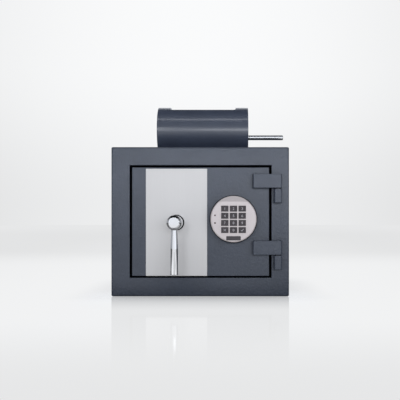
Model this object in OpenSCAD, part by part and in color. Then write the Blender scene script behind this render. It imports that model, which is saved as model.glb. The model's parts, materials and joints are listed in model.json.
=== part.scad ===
// Drop safe with a rotary deposit drum on its roof.
// X runs right, Y runs back and Z runs up, in millimetres.
// The origin is the centre of the underside of the cabinet.

/* [Cabinet] */
// Width of the cabinet
cab_w = 400; // [390:5:450]
// Height of the cabinet, without the drum housing
cab_h = 336; // [326:2:376]
// Depth of the cabinet, from front face to back face
cab_d = 380; // [300:10:480]
// Sheet thickness of the sides, floor, roof and back
wall_t = 5; // [3:0.5:8]
// Thickness of the front frame
frame_t = 8; // [6:0.5:10]
// Radius on the outer edges of the cabinet
edge_r = 3.5; // [1:0.5:4.5]
// Diameter of the anchor holes in the floor and the back
anchor_d = 13; // [9:0.5:16]
// Sideways distance between anchor holes
anchor_dx = 240; // [180:10:280]
// Distance between anchor holes, front to back in the floor
anchor_dy = 220; // [120:10:240]
// Distance between anchor holes, bottom to top in the back
anchor_dz = 160; // [100:10:200]

/* [Door opening] */
// Width of the front frame left of the opening
frame_left = 41.6; // [38:0.2:46]
// Width of the front frame right of the opening, where the hinges are
frame_right = 39.6; // [38:0.2:44]
// Width of the front frame below the opening
frame_bottom = 42; // [34:1:46]
// Width of the front frame above the opening
frame_top = 41; // [36:1:48]
// Thickness of the rebate ring around the opening
rebate_t = 4; // [3:0.5:6]
// How far the rebate lip stands into the opening
lip_w = 7; // [6.4:0.2:8]
// Thickness of the rebate lip
lip_t = 6; // [4:0.5:7]

/* [Door] */
// Thickness of the door plate
door_t = 12; // [10:0.5:14]
// How far the door stands in front of the frame
door_proud = 1; // [0.6:0.2:2]
// Gap at each side of the door
side_gap = 5.4; // [4.6:0.2:6]
// Gap above the door
top_gap = 5; // [3:0.5:6]
// Gap below the door
bottom_gap = 4; // [3:0.5:6]
// Gap between the back of the door and the rebate lip
stop_gap = 1; // [0.6:0.2:2]
// Thickness of the brushed panel on the door
fascia_t = 1.2; // [0.8:0.2:2]
// Gap between the brushed panel and the keypad's base
fascia_gap = 5.8; // [4:0.2:12]
// Distance from the left edge of the door to the panel
fascia_left = 31.2; // [24:0.2:34]
// Distance from the top of the door to the panel
fascia_top = 3; // [0.5:0.5:8]
// Distance from the bottom of the door to the panel
fascia_bottom = 0.3; // [0.1:0.1:6]

/* [Hinges] */
// How far the hinge blocks stand in front of the frame
hinge_proud = 20; // [18:0.5:24]
// Height of each hinge block
hinge_h = 31; // [26:0.5:34]
// Width of a hinge leaf
leaf_w = 65.1; // [55:0.1:68]
// Width of a hinge knuckle
knuckle_w = 17.6; // [16:0.2:18]
// Distance from the edge of the opening to the hinge pin
pin_inset = 13.6; // [12.8:0.2:14.4]
// Distance from the door's top and bottom edges to the hinge ends
hinge_inset = 15.6; // [10:0.2:22]
// Diameter of the hinge pins
pin_d = 8; // [6:0.5:9]
// Thickness of the washer between leaf and knuckle
washer_t = 1.6; // [1:0.1:2.4]
// Diameter of that washer
washer_d = 15; // [12:0.5:17]
// Radius of the hinge blocks' front edges
hinge_r = 3.5; // [2:0.5:4.5]

/* [Drum housing] */
// Outer radius of the drum housing
housing_r = 60; // [54:1:66]
// Wall of the drum housing
housing_wall = 4; // [3:0.5:6]
// Length of the drum housing
housing_len = 224; // [210:2:236]
// How far the housing tube is sunk below its tangent on the roof
housing_sink = 2; // [1:0.5:3]
// Thickness of the housing's end plates
end_t = 4; // [3:0.5:6]
// How far the end plates are set in from the ends of the tube
end_recess = 2; // [0.5:0.5:4]
// Length of the deposit window
window_len = 162; // [140:2:172]
// Width of the deposit window, seen from above
window_w = 62.7; // [54:0.3:66]
// Radius of the deposit window's corners
window_r = 5; // [2:0.5:8]

/* [Drum] */
// Running gap between the drum and its housing
drum_gap = 1.5; // [1:0.1:2.5]
// Wall of the drum
drum_wall = 3; // [2:0.5:4]
// Width of the drum's mouth, seen from above
mouth_w = 70; // [62:1:72]
// Gap between each end of the drum and its end plate
drum_end_gap = 3; // [2:0.5:5]
// Thickness of the drum's end discs
disc_t = 4; // [3:0.5:6]
// Diameter of the drum's journals
journal_d = 20; // [16:1:24]
// Wall of the journal bushes
bush_wall = 3; // [2:0.5:4]
// Diameter of the flange on each journal bush
bush_flange_d = 36; // [34:1:42]
// How far each journal stands past its end plate
journal_proud = 1; // [0:0.5:2]
// Diameter of the rod that turns the drum
rod_d = 12; // [10:0.5:14]
// Diameter of the rod's threaded end
rod_thread_d = 10; // [8:0.5:10]
// How far the rod stands out from the end of the housing
rod_reach = 86.3; // [70:0.5:100]
// Gap between the flats of the rod's nut and the inside of the drum
nut_gap = 3; // [2.5:0.1:5]
// Angle of the rod below the horizontal, at the front
rod_angle = 28.7; // [20:0.5:35]
// Turn of the drum from loading to dropping
drum_turn = 180; // [150:5:190]
// Clearance of the rod in the slot of the end plate
slot_clear = 1.5; // [1:0.25:2]
// Thickness of the rod's nut
nut_t = 7; // [5:0.5:9]
// Width of the rod's nut across its flats
nut_flats = 17; // [15:0.5:18]

/* [Chute] */
// Length of the chute below the drum
chute_len = 170; // [165:1:180]
// Width of the chute, front to back
chute_w = 73; // [72:0.5:78]
// Wall of the chute and of the baffles
chute_wall = 3; // [2:0.5:4]
// How far the chute reaches below the roof
chute_drop = 15; // [8:1:24]
// Slope of the two anti-fishing baffles
baffle_slope = 30; // [24:1:36]
// Length of each baffle, without its teeth
baffle_len = 44; // [38:1:46]
// Height from the upper baffle down to the lower one
baffle_step = 36; // [32:1:42]
// Depth of the teeth on the baffles
tooth_h = 8; // [4:1:10]
// Number of teeth on each baffle
tooth_count = 12; // [8:1:16]

/* [Lever] */
// Distance from the left edge of the door to the lever's spindle
spindle_from_left = 99.8; // [96:0.2:104]
// How far the spindle sits below the middle of the door
spindle_below = 2; // [-2:0.5:6]
// Diameter of the lever's hub
hub_d = 32.5; // [30:0.5:36]
// How far the hub stands in front of the door
hub_proud = 70; // [60:1:80]
// Diameter of the hub's flat front
hub_flat_d = 24.5; // [20:0.5:28]
// Depth of the hub's chamfer
hub_chamfer = 4; // [2:0.5:5]
// Distance from the hub's front to the lever's axis
lever_back = 13; // [11:0.5:16]
// Length of the lever, from the spindle's axis
lever_len = 112.5; // [90:0.5:116]
// Diameter of the lever at the hub
lever_neck_d = 12.7; // [11:0.1:14]
// Diameter of the lever's grip
lever_d = 16.6; // [15:0.1:19]
// Distance from the spindle's axis to the start of the taper
taper_start = 28; // [22:1:34]
// Distance from the spindle's axis to the end of the taper
taper_end = 49; // [42:1:60]
// Diameter of the spindle
spindle_d = 12; // [10:0.5:12]
// Thickness of the spindle bush's wall
spindle_bush_wall = 3; // [2:0.5:4]

/* [Bolt work] */
// Thickness of the hard plate behind the lock
hard_t = 3; // [2:0.5:4]
// Depth of the bolt box behind the door plate
box_depth = 44; // [42:1:46]
// Wall of the bolt box
box_wall = 4; // [3:0.5:4.5]
// Thickness of the bolt box's cover
cover_t = 3; // [2:0.5:3]
// Distance from the door's edges to the bolt box
box_inset = 10; // [10:0.5:12]
// Diameter of the locking bolts
bolt_d = 20; // [16:1:20]
// Distance from the front face of the door frame to the bolts' axis
bolt_y = 30; // [29:0.5:32]
// Travel of the locking bolts
bolt_throw = 20; // [18:0.5:22]
// Distance from the ends of the bolt box to the outer locking bolts
bolt_inset = 39; // [32:0.5:46]
// How far a withdrawn bolt stands out of the bolt box
bolt_proud = 1; // [0.5:0.5:2]
// Length of a locking bolt
bolt_len = 26; // [25:0.5:30]
// Thickness of the plate that carries the bolts
bar_t = 6; // [5:0.5:8]
// Diameter of the screws that hold the bolts
bolt_screw_d = 8; // [6:0.5:8]
// Diameter of the fixed bolts on the hinge side
dog_d = 16; // [12:1:18]
// How far the fixed bolts stand out of the bolt box
dog_proud = 13; // [8:0.5:13]
// Thickness of the arm that joins the lever to the bolts
arm_t = 4; // [3:0.5:5]
// Height of that arm
arm_h = 22; // [20:1:24]
// Diameter of the crank's pin
crank_pin_d = 8; // [6:0.5:9]
// Clearance of the crank's pin at each side of its slot
yoke_clear = 0.6; // [0.5:0.05:0.9]
// Thickness of the crank
crank_t = 8; // [6:0.5:8]

/* [Lock and keypad] */
// Distance from the right edge of the door to the keypad's centre
keypad_from_right = 80.2; // [78:0.2:86]
// How far the keypad's centre sits above the middle of the door
keypad_above = 5.8; // [0:0.2:10]
// Diameter of the keypad's cover
keypad_d = 102; // [96:1:108]
// How far the keypad stands in front of the door
keypad_proud = 34; // [32:0.5:38]
// How far the keypad's base reaches past its cover
base_rim = 2.2; // [1:0.2:4]
// Thickness of the keypad's base
base_t = 10; // [8:0.5:11]
// Wall of the keypad's cover
cover_wall = 4; // [3:0.5:5]
// Radius of the keypad cover's front edge
cover_r = 3; // [1:0.5:4]
// Height of the crease above the keypad's centre
crease_z = 38.4; // [37:0.2:42]
// Angle by which the face falls back above the crease
crease_angle = 14; // [6:1:18]
// Width of a key
key_w = 15.4; // [13:0.2:15.8]
// Height of a key
key_h = 12.2; // [10:0.2:12.6]
// Sideways distance between keys
key_dx = 19.1; // [18.5:0.1:19.6]
// Up and down distance between keys
key_dz = 15.7; // [15.2:0.1:16]
// Height of the middle of the keys above the keypad's centre
keys_up = -0.4; // [-1:0.2:1]
// How far a key stands in front of the face
key_proud = 1.8; // [1.4:0.1:2.4]
// Travel of a key
key_travel = 1.2; // [0.8:0.1:1.3]
// Clearance around a key
key_clear = 0.4; // [0.3:0.05:0.5]
// Diameter of the status lenses
lens_d = 3.6; // [3:0.2:4.4]
// Distance from the keypad's centre to the lenses
lens_left = 40.7; // [38:0.2:43]
// Distance between the two lenses
lens_dz = 17; // [12:0.5:22]
// Width of the plain badge plate
badge_w = 32; // [26:0.5:36]
// Height of the plain badge plate
badge_h = 9.3; // [7:0.1:9.8]
// Distance from the keypad's centre down to the badge plate
badge_down = 41.9; // [41:0.1:42.5]
// Thickness of the badge plate
badge_t = 0.8; // [0.5:0.1:1.2]
// Width of the lock's case
case_w = 60; // [54:1:64]
// Height of the lock's case
case_h = 83; // [74:1:88]
// Depth of the lock's case
case_t = 32; // [28:1:34]
// Width of the lock's bolt
lock_bolt_w = 12; // [10:0.5:12]
// Thickness of the lock's bolt
lock_bolt_t = 10; // [8:0.5:12]
// Travel of the lock's bolt
lock_throw = 9; // [8:0.5:9]
// Diameter of the keypad's cable
cable_d = 5; // [4:0.5:6]

/* [Hidden] */
$fn = 64;

// How far a cutting shape runs past the surface that it cuts
past = 1;
// Clearance of a shaft in its bore, across the diameter
shaft_fit = 0.1;
// Clearance of a fixed pin or screw in its hole, across the diameter
pin_fit = 0.04;
// Gap between two faces that slide on each other
slide_gap = 0.3;

// Colours of the finishes
coat = [0.33, 0.36, 0.42];
coat_dark = [0.26, 0.29, 0.35];
steel = [0.72, 0.72, 0.74];
brushed = [0.80, 0.80, 0.82];
chrome = [0.86, 0.87, 0.90];
silver = [0.80, 0.78, 0.79];
dark = [0.30, 0.28, 0.30];
black = [0.07, 0.07, 0.08];
zinc = [0.62, 0.62, 0.60];
brass = [0.74, 0.60, 0.32];
green = [0.10, 0.34, 0.20];
lens_red = [0.45, 0.12, 0.08];

// Faces of the cabinet
front_y = -cab_d / 2;
back_y = cab_d / 2;
inner_x = cab_w / 2 - wall_t;

// Edges of the opening and of the door, seen from the front
open_x0 = frame_left - cab_w / 2;
open_x1 = cab_w / 2 - frame_right;
open_z0 = frame_bottom;
open_z1 = cab_h - frame_top;
door_x0 = open_x0 + side_gap;
door_x1 = open_x1 - side_gap;
door_z0 = open_z0 + bottom_gap;
door_z1 = open_z1 - top_gap;
door_mid = (door_z0 + door_z1) / 2;

// Depths behind the front face of the frame
door_front = -door_proud;
door_back = door_t - door_proud;
lip_front = door_back + stop_gap;
lip_back = lip_front + lip_t;
fascia_front = door_front - fascia_t;

// Hinge blocks
pin_x = open_x1 + pin_inset;
pin_y = -(hinge_proud + door_proud) / 2;
block_x1 = pin_x + knuckle_w / 2;
washer_gap = washer_t + 0.4;
upper_leaf_z = door_z1 - hinge_inset - hinge_h;
lower_leaf_z = door_z0 + hinge_inset + hinge_h + washer_gap;
leaf_zs = [lower_leaf_z, upper_leaf_z];
pin_end_inset = 5;
pin_top_gap = 1;

// Drum and its housing
drum_z = cab_h + housing_r - housing_sink;
housing_x = housing_len / 2;
bore_r = housing_r - housing_wall;
end_x1 = housing_x - end_recess;
end_x0 = end_x1 - end_t;
drum_r = bore_r - drum_gap;
disc_r = drum_r - drum_wall;
drum_x = end_x0 - drum_end_gap;
mouth_r = window_r;
bush_d = journal_d + 2 * bush_wall;
rod_pitch = disc_r - nut_flats / 2 - nut_gap;
rod_y = -rod_pitch * cos(rod_angle);
rod_z = drum_z - rod_pitch * sin(rod_angle);
rod_end = housing_x + rod_reach;
nut_end_gap = 1;

// Chute under the drum
chute_x = chute_len / 2;
chute_y = chute_w / 2;
collar_x = chute_x + chute_wall;
collar_y = chute_y + chute_wall;
collar_z = cab_h - wall_t - chute_drop;
baffle_reach = baffle_len * sin(baffle_slope);
cheek_h = baffle_step + baffle_reach + chute_wall + tooth_h * sin(baffle_slope);

// Bolt box behind the door
box_x0 = door_x0 + box_inset;
box_x1 = door_x1 - box_inset - 2;
box_z0 = door_z0 + box_inset;
box_z1 = door_z1 - box_inset + 1;
box_back = door_back + box_depth;
cover_back = box_back + cover_t;
post_d = 12;
post_inset = 9;
cover_screw_d = 5;
cover_head_d = 9;
cover_head_t = 3;
hard_back = door_back + hard_t;

// Spindle, crank and yoke
spindle_x = door_x0 + spindle_from_left;
spindle_z = door_mid - spindle_below;
hub_front = door_front - hub_proud;
hub_back = fascia_front - 1 - slide_gap;
lever_y = hub_front + lever_back;
spindle_bush_d = spindle_d + 2 * spindle_bush_wall;
crank_r = bolt_throw / sqrt(2);
crank_x = spindle_x + bolt_throw / 2;
crank_z = spindle_z - bolt_throw / 2;
crank_front = hard_back + 3;
crank_back = crank_front + crank_t;
clip_t = 1.5;
spindle_back = crank_back + clip_t + 1.5;
arm_front = spindle_back + 1;
arm_back = arm_front + arm_t;
arm_below_pin = 18;
arm_z0 = crank_z - arm_below_pin;
arm_z1 = arm_z0 + arm_h;
yoke_wall = 6;
yoke_half = crank_pin_d / 2 + yoke_clear;

// Bolt carriage
bolt_tip = box_x0 - bolt_proud;
bar_x0 = bolt_tip + bolt_len;
bar_x1 = bar_x0 + bar_t;
bolt_z = (box_z0 + box_z1) / 2;
bolt_zs = [box_z0 + bolt_inset, bolt_z, box_z1 - bolt_inset];
bolt_screw_depth = 16;
dog_y = bolt_y + 2;
bolt_head_d = 1.6 * bolt_screw_d;
bolt_head_t = 5;

// Lock
keypad_x = door_x1 - keypad_from_right;
keypad_z = door_mid + keypad_above;
lock_x = keypad_x;
lock_z = arm_z1 + 2;
lock_bolt_len = 30;
lock_bolt_y = (arm_front + arm_back) / 2;
notch_w = lock_bolt_w + 1;
arm_past_notch = 8;
arm_x1 = lock_x + bolt_throw + notch_w / 2 + arm_past_notch;
guide_w = 16;
guide_gap = 9;
guide_x0 = lock_x - case_w / 2 - guide_gap - guide_w;
guide_x1 = guide_x0 + guide_w;

// Keypad depths in front of the door
base_front = door_front - base_t;
face_y = door_front - keypad_proud;
panel_t = 0.6;
panel_w = 2 * key_dx + key_w + 6.6;
panel_h = 3 * key_dz + key_h + 8;
face_in = face_y + cover_wall;
key_flange = 1;
key_flange_t = 1.2;
mat_front = face_in + slide_gap + key_flange_t + key_travel + slide_gap;
mat_t = 3;
board_t = 1.6;
board_back = mat_front + mat_t + board_t;
post_xs = [-24, 24];
post_zs = [-30, 30];
board_post_d = 6;
cable_up = 26;

// Keys from left to right and from top to bottom
KEYS = [
    "key_1", "key_2", "key_3", "key_4", "key_5", "key_6",
    "key_7", "key_8", "key_9", "key_clear", "key_0", "key_enter"
];

// A key's place on the face, from its number in the list
function key_x(i) = keypad_x + (i % 3 - 1) * key_dx;
function key_z(i) = keypad_z + keys_up + (1.5 - floor(i / 3)) * key_dz;

// Shapes that are used again and again

// A centred rectangle with round corners
module round_rect(w, h, r) {
    square([w - 2 * r, h], center = true);
    square([w, h - 2 * r], center = true);
    for (sx = [-1, 1], sy = [-1, 1])
        translate([sx * (w / 2 - r), sy * (h / 2 - r)])
            circle(r);
}

// A flat shape drawn in X and Z, drawn out along Y
module along_y(y0, y1) {
    translate([0, y1, 0])
        rotate([90, 0, 0])
            linear_extrude(y1 - y0)
                children();
}

// A flat shape drawn in Y and Z, drawn out along X
module along_x(x0, x1) {
    translate([x0, 0, 0])
        rotate([90, 0, 90])
            linear_extrude(x1 - x0)
                children();
}

// A block between two values in X, in Y and in Z
module block(x, y, z) {
    translate([x[0], y[0], z[0]])
        cube([x[1] - x[0], y[1] - y[0], z[1] - z[0]]);
}

// A round bar along X
module bar_x(y, z, x0, x1, d) {
    translate([x0, y, z])
        rotate([0, 90, 0])
            cylinder(d = d, h = x1 - x0);
}

// A round bar along Y
module bar_y(x, z, y0, y1, d) {
    translate([x, y1, z])
        rotate([90, 0, 0])
            cylinder(d = d, h = y1 - y0);
}

// Moves a shape from the front face of the frame to its place in the cabinet
module at_front() {
    translate([0, front_y, 0])
        children();
}

// The outside of the cabinet, round on every edge
module cabinet_outline() {
    intersection() {
        along_y(front_y, back_y)
            translate([0, cab_h / 2])
                round_rect(cab_w, cab_h, edge_r);
        along_x(-cab_w / 2, cab_w / 2)
            translate([0, cab_h / 2])
                round_rect(cab_d, cab_h, edge_r);
        linear_extrude(cab_h)
            round_rect(cab_w, cab_d, edge_r);
    }
}

// The door opening, made larger on every side by grow
module opening_shape(grow = 0) {
    translate([open_x0 - grow, open_z0 - grow])
        square([open_x1 - open_x0 + 2 * grow, open_z1 - open_z0 + 2 * grow]);
}

// Cabinet

module body_shell() {
    color(coat)
        difference() {
            intersection() {
                cabinet_outline();
                block([-cab_w, cab_w], [front_y + frame_t, back_y], [-past, cab_h + past]);
            }
            block([-inner_x, inner_x], [front_y, back_y + past], [wall_t, cab_h - wall_t]);
            block([-collar_x, collar_x], [-collar_y, collar_y], [cab_h / 2, cab_h + past]);
            for (sx = [-1, 1], sy = [-1, 1])
                translate([sx * anchor_dx / 2, sy * anchor_dy / 2, -past])
                    cylinder(d = anchor_d, h = wall_t + 2 * past);
        }
}

module back_plate() {
    color(coat)
        difference() {
            block([-inner_x, inner_x], [back_y - wall_t, back_y], [wall_t, cab_h - wall_t]);
            for (sx = [-1, 1], sz = [-1, 1])
                bar_y(sx * anchor_dx / 2, cab_h / 2 + sz * anchor_dz / 2,
                    back_y - wall_t - past, back_y + past, anchor_d);
        }
}

module front_frame() {
    color(coat)
        difference() {
            intersection() {
                cabinet_outline();
                block([-cab_w, cab_w], [front_y - past, front_y + frame_t], [-past, cab_h + past]);
            }
            at_front()
                along_y(-past, frame_t + past)
                    opening_shape();
        }
}

module rebate_frame() {
    color(coat_dark)
        at_front()
            difference() {
                along_y(frame_t, lip_back)
                    opening_shape(rebate_t);
                along_y(frame_t - past, lip_front)
                    opening_shape();
                along_y(lip_front - past, lip_back + past)
                    opening_shape(-lip_w);
            }
}

// Drum housing on the roof

module drum_housing() {
    color(coat)
        difference() {
            bar_x(0, drum_z, -housing_x, housing_x, 2 * housing_r);
            bar_x(0, drum_z, -housing_x - past, housing_x + past, 2 * bore_r);
            block([-cab_w, cab_w], [-cab_d, cab_d], [0, cab_h]);
            block([-collar_x, collar_x], [-collar_y, collar_y], [0, drum_z]);
            translate([0, 0, drum_z])
                linear_extrude(housing_r + past)
                    round_rect(window_len, window_w, window_r);
        }
}

// An end plate on the right, with the hole for its bush
module housing_end() {
    difference() {
        bar_x(0, drum_z, end_x0, end_x1, 2 * bore_r);
        bar_x(0, drum_z, end_x0 - past, end_x1 + past, bush_d);
    }
}

module housing_end_left() {
    color(coat)
        mirror([1, 0, 0])
            housing_end();
}

// The slot is an arc in which the rod swings over the drum's axis
module housing_end_right() {
    slot_r = rod_d / 2 + slot_clear;
    color(coat)
        difference() {
            housing_end();
            translate([end_x0 - past, 0, drum_z])
                rotate([180 + rod_angle, 0, 0])
                    rotate([90, 0, 90])
                        slot_cut(slot_r, end_t + 2 * past);
        }
}

// An arc of drum_turn degrees with round ends, from the first axis
module slot_cut(r, h) {
    rotate([0, 0, -drum_turn])
        rotate_extrude(angle = drum_turn)
            translate([rod_pitch - r, 0])
                square([2 * r, h]);
    for (a = [0, -drum_turn])
        rotate([0, 0, a])
            translate([rod_pitch, 0, 0])
                cylinder(r = r, h = h);
}

module drum_bushes() {
    color(brass)
        for (s = [0, 1])
            mirror([s, 0, 0])
                difference() {
                    union() {
                        bar_x(0, drum_z, end_x0 - past, end_x1, bush_d - pin_fit);
                        bar_x(0, drum_z, drum_x + slide_gap, end_x0, bush_flange_d);
                    }
                    bar_x(0, drum_z, drum_x, end_x1 + past, journal_d + shaft_fit);
                }
}

module chute_collar() {
    color(coat_dark)
        difference() {
            block([-collar_x, collar_x], [-collar_y, collar_y], [collar_z, drum_z]);
            block([-chute_x, chute_x], [-chute_y, chute_y], [collar_z - past, drum_z + past]);
            bar_x(0, drum_z, -collar_x - past, collar_x + past, 2 * bore_r);
        }
}

// A plate with a saw-tooth edge, drawn from X along Y
module toothed_plate() {
    pitch = chute_len / tooth_count;
    linear_extrude(chute_wall)
        polygon(concat(
            [[-collar_x, 0], [-collar_x, baffle_len]],
            [for (i = [0:tooth_count - 1], p = [0, 1])
                [-chute_x + (i + p / 2) * pitch, baffle_len + p * tooth_h]],
            [[chute_x, baffle_len], [collar_x, baffle_len], [collar_x, 0]]
        ));
}

module baffle_plates() {
    cheek_z = collar_z - cheek_h;
    color(coat_dark) {
        for (s = [-1, 1])
            translate([s * (chute_x + chute_wall / 2), 0, cheek_z + cheek_h / 2])
                cube([chute_wall, 2 * collar_y, cheek_h], center = true);
        intersection() {
            block([-collar_x, collar_x], [-collar_y, collar_y], [cheek_z, collar_z]);
            union()
                for (s = [0, 1])
                    mirror([0, s, 0])
                        translate([0, -collar_y, collar_z - s * baffle_step])
                            rotate([-baffle_slope, 0, 0])
                                translate([0, -chute_wall, -chute_wall])
                                    toothed_plate();
        }
    }
}

// Hinges

// A hinge block seen from above, with round front edges
module hinge_outline(x0, back) {
    w = block_x1 - x0;
    translate([x0, -hinge_proud + hinge_r])
        square([w, hinge_proud + back - hinge_r]);
    translate([x0 + hinge_r, -hinge_proud])
        square([w - 2 * hinge_r, hinge_proud + back]);
    for (x = [x0 + hinge_r, block_x1 - hinge_r])
        translate([x, -hinge_proud + hinge_r])
            circle(hinge_r);
}

module hinge_knuckles() {
    color(coat)
        at_front()
            for (z = leaf_zs)
                translate([0, 0, z - washer_gap - hinge_h])
                    difference() {
                        linear_extrude(hinge_h)
                            hinge_outline(pin_x - knuckle_w / 2, 0);
                        translate([pin_x, pin_y, pin_end_inset])
                            cylinder(d = pin_d + pin_fit, h = hinge_h);
                    }
}

// The back corner is round about the pin, so that the leaf turns clear of the frame
module hinge_leaves() {
    leaf_x0 = block_x1 - leaf_w;
    turn_r = knuckle_w / 2;
    color(coat)
        at_front()
            for (z = leaf_zs)
                translate([0, 0, z])
                    difference() {
                        linear_extrude(hinge_h)
                            difference() {
                                hinge_outline(leaf_x0, -door_proud);
                                difference() {
                                    translate([pin_x, pin_y])
                                        square(hinge_proud);
                                    translate([pin_x, pin_y])
                                        circle(turn_r);
                                }
                            }
                        translate([pin_x, pin_y, -past])
                            cylinder(d = pin_d + shaft_fit, h = hinge_h - pin_end_inset + past);
                    }
}

module hinge_pins() {
    color(steel)
        at_front()
            for (z = leaf_zs)
                translate([pin_x, pin_y, z - washer_gap - hinge_h + pin_end_inset])
                    cylinder(d = pin_d,
                        h = 2 * (hinge_h - pin_end_inset) + washer_gap - pin_top_gap);
}

module hinge_washers() {
    color(brass)
        at_front()
            for (z = leaf_zs)
                translate([pin_x, pin_y, z - washer_gap])
                    difference() {
                        cylinder(d = washer_d, h = washer_t);
                        translate([0, 0, -past])
                            cylinder(d = pin_d + 2 * shaft_fit, h = washer_t + 2 * past);
                    }
}

// Deposit drum

module drum_shell() {
    color(steel)
        difference() {
            bar_x(0, drum_z, -drum_x, drum_x, 2 * drum_r);
            bar_x(0, drum_z, -drum_x - past, drum_x + past, 2 * disc_r);
            translate([0, 0, drum_z])
                linear_extrude(drum_r + past)
                    round_rect(window_len, mouth_w, mouth_r);
        }
}

// An end disc on the right, with its journal
module drum_disc() {
    bar_x(0, drum_z, drum_x - disc_t, drum_x, 2 * disc_r);
    bar_x(0, drum_z, drum_x - past, end_x1 + journal_proud, journal_d);
}

module drum_disc_left() {
    color(steel)
        mirror([1, 0, 0])
            drum_disc();
}

module drum_disc_right() {
    color(steel)
        difference() {
            drum_disc();
            bar_x(rod_y, rod_z, drum_x - disc_t - past, drum_x + past, rod_thread_d + pin_fit);
        }
}

module drum_rod() {
    tip = 1;
    color(chrome) {
        bar_x(rod_y, rod_z, drum_x - disc_t - nut_t - nut_end_gap, drum_x + past, rod_thread_d);
        bar_x(rod_y, rod_z, drum_x, rod_end - tip, rod_d);
        translate([rod_end - tip, rod_y, rod_z])
            rotate([0, 90, 0])
                cylinder(d1 = rod_d, d2 = rod_d - 2 * tip, h = tip);
    }
}

module rod_nut() {
    color(zinc)
        translate([drum_x - disc_t - nut_t, rod_y, rod_z])
            rotate([0, 90, 0])
                difference() {
                    cylinder(d = nut_flats / cos(30), h = nut_t, $fn = 6);
                    translate([0, 0, -past])
                        cylinder(d = rod_thread_d + pin_fit, h = nut_t + 2 * past);
                }
}

// Door

module door_plate() {
    color(coat)
        at_front()
            difference() {
                block([door_x0, door_x1], [door_front, door_back], [door_z0, door_z1]);
                bar_y(spindle_x, spindle_z, door_front - past, door_back + past, spindle_bush_d);
                bar_y(keypad_x, keypad_z + cable_up, door_front - past, door_back + past, 2 * cable_d);
            }
}

module fascia_panel() {
    x0 = door_x0 + fascia_left;
    x1 = keypad_x - keypad_d / 2 - base_rim - fascia_gap;
    color(brushed)
        at_front()
            difference() {
                block([x0, x1], [fascia_front, door_front],
                    [door_z0 + fascia_bottom, door_z1 - fascia_top]);
                bar_y(spindle_x, spindle_z, fascia_front - past, door_front + past, spindle_bush_d);
            }
}

// Corner posts take the screws of the cover
module bolt_box() {
    post_xs = [box_x0 + post_inset, box_x1 - post_inset];
    post_zs = [box_z0 + post_inset, box_z1 - post_inset];
    color(steel)
        at_front()
            difference() {
                union() {
                    difference() {
                        block([box_x0, box_x1], [door_back, box_back], [box_z0, box_z1]);
                        block([box_x0 + box_wall, box_x1 - box_wall],
                            [door_back - past, box_back + past],
                            [box_z0 + box_wall, box_z1 - box_wall]);
                    }
                    for (x = post_xs, z = post_zs)
                        bar_y(x, z, door_back, box_back, post_d);
                }
                for (x = post_xs, z = post_zs)
                    bar_y(x, z, box_back - bolt_screw_depth, box_back + past, cover_screw_d + pin_fit);
                for (z = bolt_zs) {
                    bar_x(bolt_y, z, box_x0 - past, box_x0 + box_wall + past, bolt_d + 2 * slide_gap);
                    bar_x(dog_y, z, box_x1 - box_wall - past, box_x1 + past, dog_d + pin_fit);
                }
            }
}

module box_cover() {
    color(steel)
        at_front()
            difference() {
                block([box_x0, box_x1], [box_back, cover_back], [box_z0, box_z1]);
                for (x = [box_x0 + post_inset, box_x1 - post_inset],
                    z = [box_z0 + post_inset, box_z1 - post_inset])
                    bar_y(x, z, box_back - past, cover_back + past, cover_screw_d + 2 * shaft_fit);
            }
}

module cover_screws() {
    color(zinc)
        at_front()
            for (x = [box_x0 + post_inset, box_x1 - post_inset],
                z = [box_z0 + post_inset, box_z1 - post_inset]) {
                bar_y(x, z, cover_back, cover_back + cover_head_t, cover_head_d);
                bar_y(x, z, box_back - bolt_screw_depth + 2, cover_back + past, cover_screw_d);
            }
}

module dog_bolts() {
    tip = 1.5;
    head_t = 5;
    color(steel)
        at_front()
            for (z = bolt_zs) {
                bar_x(dog_y, z, box_x1 - box_wall - head_t, box_x1 - box_wall, dog_d + 6);
                bar_x(dog_y, z, box_x1 - box_wall - past, box_x1 + dog_proud - tip, dog_d);
                translate([box_x1 + dog_proud - tip, dog_y, z])
                    rotate([0, 90, 0])
                        cylinder(d1 = dog_d, d2 = dog_d - 2 * tip, h = tip);
            }
}

// Hardened plate in front of the lock and the crank
module hard_plate() {
    hard_left = 2 * spindle_d;
    color(steel)
        at_front()
            difference() {
                block([spindle_x - hard_left, lock_x + case_w / 2],
                    [door_back, hard_back],
                    [arm_z0 - guide_w / 2, lock_z + case_h]);
                bar_y(spindle_x, spindle_z, door_back - past, hard_back + past, spindle_d + 2);
                bar_y(keypad_x, keypad_z + cable_up, door_back - past, hard_back + past, 2 * cable_d);
            }
}

// The arm slides through a window in this block
module arm_guide() {
    wall = 6;
    color(brass)
        at_front()
            difference() {
                block([guide_x0, guide_x1], [hard_back, arm_back + wall],
                    [arm_z0 - guide_w / 2, arm_z1 + guide_w / 2]);
                block([guide_x0 - past, guide_x1 + past],
                    [arm_front - slide_gap, arm_back + slide_gap],
                    [arm_z0 - slide_gap, arm_z1 + slide_gap]);
            }
}

module lock_case() {
    color(zinc)
        at_front()
            difference() {
                block([lock_x - case_w / 2, lock_x + case_w / 2],
                    [hard_back, hard_back + case_t],
                    [lock_z, lock_z + case_h]);
                block([lock_x - lock_bolt_w / 2 - slide_gap, lock_x + lock_bolt_w / 2 + slide_gap],
                    [lock_bolt_y - lock_bolt_t / 2 - slide_gap, lock_bolt_y + lock_bolt_t / 2 + slide_gap],
                    [lock_z - past, lock_z + lock_bolt_len + 1]);
            }
}

module lock_bolt() {
    color(brass)
        at_front()
            block([lock_x - lock_bolt_w / 2, lock_x + lock_bolt_w / 2],
                [lock_bolt_y - lock_bolt_t / 2, lock_bolt_y + lock_bolt_t / 2],
                [lock_z, lock_z + lock_bolt_len]);
}

// Keypad

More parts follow.
